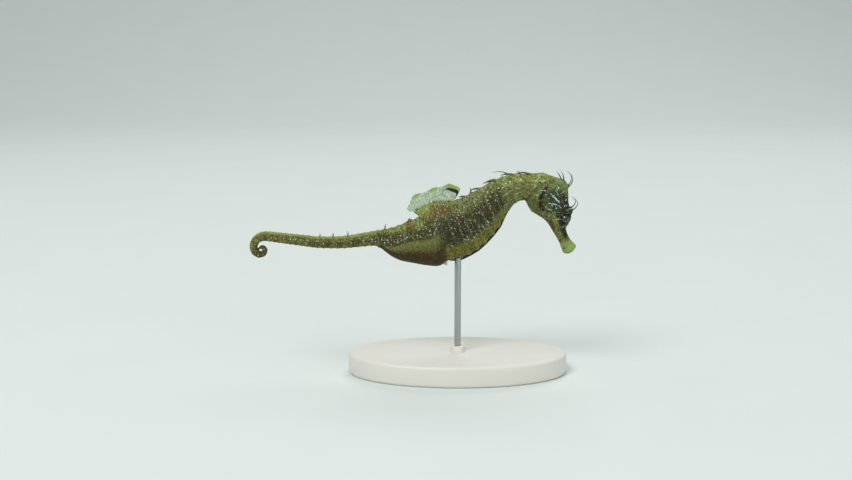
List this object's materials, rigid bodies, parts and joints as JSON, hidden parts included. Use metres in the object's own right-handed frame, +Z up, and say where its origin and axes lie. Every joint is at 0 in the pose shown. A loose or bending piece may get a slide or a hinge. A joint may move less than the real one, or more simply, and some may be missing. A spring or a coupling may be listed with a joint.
{
  "type": "long-snouted seahorse model on a display stand",
  "caption": "Life-size still model of a swimming male seahorse with arched neck, ringed trunk, brood pouch and curled tail, held level on a rod and oval base.",
  "frame": {"origin": "middle of the oval base's underside, on the floor, under the axis of the rod", "axes": "+X towards the animal's head, +Y to its left, +Z up; the animal is symmetric about the XZ plane"},
  "size_m": [0.1244, 0.046, 0.0787],
  "materials": {
    "skin": "olive-brown ringed skin with pale blue-white dots and lines",
    "eye": "wet gloss, dark green iris with pale streaks",
    "fin": "thin olive membrane with fine rays",
    "base": "satin off-white paint on cast resin",
    "rod": "fine brushed stainless steel"
  },
  "bodies": {
    "root": {"snout": "skin", "head": "skin", "coronet": "skin", "eye_right": "eye", "eye_left": "eye", "neck": "skin", "trunk": "skin", "tail_base": "skin", "brood_pouch": "skin", "tail_middle": "skin", "tail_coil": "skin", "dorsal_fin": "fin", "pectoral_fin_right": "fin", "pectoral_fin_left": "fin", "anal_fin": "fin", "stand_base": "base", "stand_rod": "rod"}
  },
  "joints": []
}
